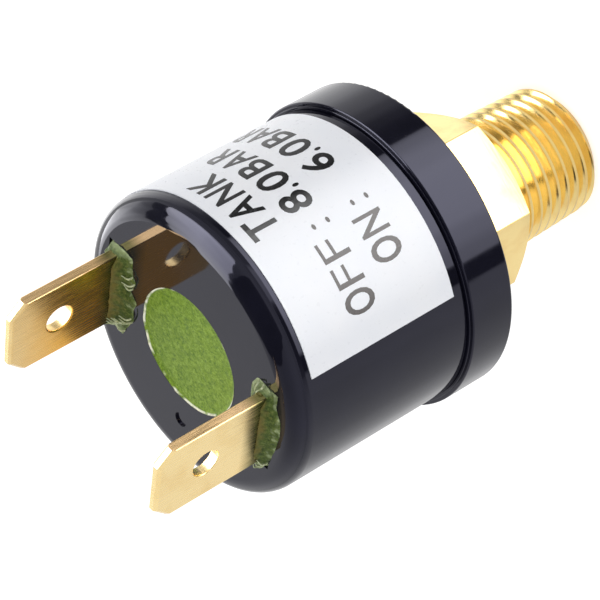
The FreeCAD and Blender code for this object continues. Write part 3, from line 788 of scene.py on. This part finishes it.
# %% Floor
FLOOR_WHITE = 0.68
FLOOR_TO_CAMERA = 0.60
FLOOR_TO_MIRROR = 0.22
floor_white, shader = new_finish("floor_white", 0.9)
shader.inputs["Base Color"].default_value = (FLOOR_WHITE, FLOOR_WHITE, FLOOR_WHITE, 1)
shader.inputs["Specular IOR Level"].default_value = 0.0
path = floor_white.node_tree.nodes.new("ShaderNodeLightPath").outputs
mirrored = calculate(floor_white, "MAXIMUM", path["Is Glossy Ray"], path["Is Transmission Ray"])
to_camera = calculate(floor_white, "MULTIPLY", path["Is Camera Ray"], FLOOR_TO_CAMERA)
to_mirror = calculate(floor_white, "MULTIPLY", mirrored, FLOOR_TO_MIRROR)
glow = calculate(floor_white, "ADD", to_camera, to_mirror)
shader.inputs["Emission Color"].default_value = (1, 1, 1, 1)
wire(floor_white, glow, shader, "Emission Strength")
bpy.ops.object.select_all(action="DESELECT")
bpy.ops.mesh.primitive_plane_add(size=6.0, location=(0, 0, 0))
floor = bpy.context.object
floor.name = "floor"
dress(floor, floor_white)
print("floor ready")

# %% [markdown]
# The tent is a little brighter near the horizon than overhead, which a mirror shows and matt surfaces do
# not.  The camera sees it plain white.

# %% World
SKY_FOR_MATT = 0.75
SKY_FOR_MIRROR = 1.1
# height above the horizon, from 0 to 1 overhead, and grey
SKY_GREYS = [(0.0, 0.82), (0.2, 0.95), (0.5, 0.85), (0.64, 0.74), (0.9, 0.6)]
tent = bpy.data.worlds.new("tent")
bpy.context.scene.world = tent
tent.use_nodes = True
background = tent.node_tree.nodes["Background"]
background.inputs["Color"].default_value = (1, 1, 1, 1)
height = coordinate(tent, "Z", "Generated")
greys = ramp(tent, height, [(place, (grey,) * 3) for place, grey in SKY_GREYS])
path = tent.node_tree.nodes.new("ShaderNodeLightPath").outputs
straight = calculate(tent, "MAXIMUM", path["Is Camera Ray"], path["Is Transmission Ray"])
matt = calculate(tent, "SUBTRACT", 1.0, calculate(tent, "MAXIMUM", straight, path["Is Glossy Ray"]))
for_matt = calculate(tent, "MULTIPLY", matt, SKY_FOR_MATT)
for_mirror = calculate(tent, "MULTIPLY", path["Is Glossy Ray"],
                       calculate(tent, "MULTIPLY", greys, SKY_FOR_MIRROR))
level = calculate(tent, "ADD", for_matt, for_mirror)
tent.node_tree.links.new(calculate(tent, "ADD", level, straight), background.inputs["Strength"])
print("tent ready")


# %% [markdown]
# A card is a grid of points, each with its own glow, so that one card can be bright in its middle and fade
# at its edge.

# %% Card
def emission_finish(name):
    """A finish that only glows; returns the finish and its emission shader."""
    finish = bpy.data.materials.new(name)
    finish.use_nodes = True
    nodes = finish.node_tree.nodes
    nodes.clear()
    output = nodes.new("ShaderNodeOutputMaterial")
    emission = nodes.new("ShaderNodeEmission")
    emission.inputs["Strength"].default_value = 1.0
    finish.node_tree.links.new(emission.outputs[0], output.inputs["Surface"])
    return finish, emission


def card(name, rows):
    """Each row is a list of (x, y, z, glow) in mm; the card is seen only in mirror images."""
    width = len(rows[0])
    points = [point for row in rows for point in row]
    faces = [(r * width + c, r * width + c + 1, (r + 1) * width + c + 1, (r + 1) * width + c)
             for r in range(len(rows) - 1) for c in range(width - 1)]
    mesh = bpy.data.meshes.new(name)
    mesh.from_pydata([(x * MM, y * MM, z * MM) for x, y, z, _ in points], [], faces)
    glows = mesh.color_attributes.new("glow", "FLOAT_COLOR", "POINT")
    for slot, point in zip(glows.data, points):
        slot.color = (point[3], point[3], point[3], 1)
    finish, emission = emission_finish(name)
    reader = finish.node_tree.nodes.new("ShaderNodeAttribute")
    reader.attribute_name = "glow"
    finish.node_tree.links.new(reader.outputs["Color"], emission.inputs["Color"])
    piece = bpy.data.objects.new(name, mesh)
    bpy.context.collection.objects.link(piece)
    dress(piece, finish)
    piece.visible_camera = False
    piece.visible_diffuse = False
    piece.visible_shadow = False
    piece.visible_transmission = False
    piece.visible_volume_scatter = False
    print(name, len(faces), "faces")


print("card helper ready")

# %% [markdown]
# A round body mirrors the floor in upright strips, so the card on the floor is laid in columns that each
# mirror in one strip.  A column leaves the body at the bearing to which the strip turns the camera's look.

# %% Card on the floor
CAMERA_BEARING = -122.7
FLOOR_CARD_HEIGHT = 0.4
NEAREST_GLOW = 3.0
# angle round the body, glow of the floor close by, glow of the floor far out
FLOOR_STRIPS = [
    (-212, 0.5, 0.95), (-205, 0.8, 0.95), (-200, 1.0, 0.95), (-182, 0.85, 0.85), (-170, 0.95, 1.0),
    (-158, 1.15, 1.0), (-150.5, 1.25, 0.7), (-149, 0.1, 0.35), (-143.5, 0.1, 0.17), (-142, 2.8, 0.17),
    (-135, 3.9, 0.18), (-128, 5.3, 0.2), (-124, 5.5, 0.4), (-121, 5.6, 2.2), (-110, 5.7, 2.2),
    (-107, 5.2, 0.7), (-98, 3.5, 0.6), (-95.5, 2.8, 0.6), (-94.3, 0.12, 0.6), (-89, 0.14, 0.55),
    (-86, 0.25, 0.5), (-80, 0.63, 0.5), (-74, 1.0, 1.0), (-62, 1.4, 1.6), (-50, 1.35, 1.9),
    (-44, 1.25, 1.9), (-38, 0.95, 1.6)]


def floor_row(distance, glows):
    """One row of the card, this far from the body in mm."""
    row = []
    for (angle, _, _), glow in zip(FLOOR_STRIPS, glows):
        turn = math.radians(angle)
        away = math.radians(2 * angle - CAMERA_BEARING)
        row.append((BODY_RADIUS / MM * math.cos(turn) + distance * math.cos(away),
                    BODY_RADIUS / MM * math.sin(turn) + distance * math.sin(away), FLOOR_CARD_HEIGHT, glow))
    return row


near_glows = [near for _, near, _ in FLOOR_STRIPS]
far_glows = [far for _, _, far in FLOOR_STRIPS]
nearest_glows = [min(near, NEAREST_GLOW) for near in near_glows]
card("floor_card", [floor_row(7, nearest_glows), floor_row(14, near_glows), floor_row(72, near_glows),
                    floor_row(84, far_glows), floor_row(230, far_glows)])

# %% [markdown]
# Overhead hang four cards: a dark gap in the tent, a bright side card with the dark frame behind it, and a
# window beyond.  Their corners are shares of the reach, so that each edge can run at its own slant.

# %% Cards overhead
TENT_HEIGHT = 340
REACH = 306


def overhead(name, rows):
    card(name, [[(x * REACH, y * REACH, TENT_HEIGHT, glow) for x, y, glow in row] for row in rows])


overhead("tent_gap", [
    [(0.66, 1.02, 0.12), (0.05, 0.46, 0.12), (-0.54, 0.04, 0.12), (-1.6, -0.97, 0.16), (-2.6, -1.9, 0.3)],
    [(0.69, 0.97, 0.12), (0.34, 0.25, 0.14), (0.11, -0.45, 0.14), (-0.2, -1.85, 0.16), (-0.6, -3.2, 0.3)]])
overhead("side_card", [
    [(0.69, 0.97, 3.6), (0.36, 0.24, 6.2), (0.17, -0.47, 6.8), (0.16, -1.9, 8.0), (0.3, -3.0, 4.0)],
    [(0.78, 1.03, 4.6), (0.60, 0.30, 7.0), (0.70, -0.44, 9.4), (1.5, -2.0, 11.5), (1.9, -3.0, 5.0)],
    [(0.91, 1.15, 2.8), (0.92, 0.46, 3.6), (1.36, -0.2, 5.2), (5.2, -1.9, 6.5), (7.0, -3.0, 3.0)]])
overhead("dark_frame", [
    [(0.91, 1.15, 0.13), (0.93, 0.46, 0.13), (1.37, -0.2, 0.15), (5.2, -1.9, 0.2)],
    [(0.97, 1.22, 0.13), (1.24, 0.74, 0.13), (1.9, 0.06, 0.3), (12, -1.6, 0.4)]])
overhead("window", [
    [(0.97, 1.22, 1.0), (1.24, 0.74, 1.2), (1.9, 0.06, 0.8), (12, -1.6, 1.0)],
    [(1.11, 1.40, 2.4), (1.97, 1.50, 4.4), (3.2, 0.9, 2.2), (14, 1.2, 1.8)],
    [(1.6, 2.0, 3.0), (3.25, 2.97, 8.0), (11.5, 6.2, 4.5), (24, 12, 3.0)]])

# %% [markdown]
# Two large round lamps give matt surfaces a soft side light.  Mirrors do not see them, because the cards
# already make the reflections.

# %% Lamps
AIM = Vector((0, 0, 0.02))


def lamp(name, bearing, elevation, distance, size, power):
    bpy.ops.object.light_add(type="AREA")
    light = bpy.context.object
    light.name = name
    light.data.shape = "DISK"
    light.data.size = size
    light.data.energy = power
    bearing = math.radians(bearing)
    elevation = math.radians(elevation)
    away = Vector((math.cos(bearing) * math.cos(elevation), math.sin(bearing) * math.cos(elevation),
                   math.sin(elevation)))
    light.location = AIM + away * distance
    light.rotation_euler = away.to_track_quat("Z", "Y").to_euler()
    light.visible_camera = False
    light.visible_glossy = False


lamp("key", bearing=-150, elevation=42, distance=0.8, size=0.7, power=1.7)
lamp("fill", bearing=-60, elevation=35, distance=0.9, size=0.9, power=1.0)
print("lamps ready")

# %% [markdown]
# ## Camera
# A long lens from above the rear face, rolled so that the thread points up to the right.

# %% Camera
CAMERA_PLACE = (-95.46 * MM, -147.93 * MM, 125.53 * MM)
CAMERA_TURN = (-40.599, 49.033, -171.294)   # degrees
LENS = 181.95
SHIFT = 0.0071
NEAREST_SEEN = 0.01
bpy.ops.object.camera_add(location=CAMERA_PLACE, rotation=[math.radians(angle) for angle in CAMERA_TURN])
camera = bpy.context.object
camera.data.lens = LENS
camera.data.shift_x = SHIFT
camera.data.clip_start = NEAREST_SEEN
bpy.context.scene.camera = camera
bpy.context.scene.view_settings.view_transform = "Standard"
print("camera with a", LENS, "mm lens")

# %% [markdown]

# %% End
print("scene built")
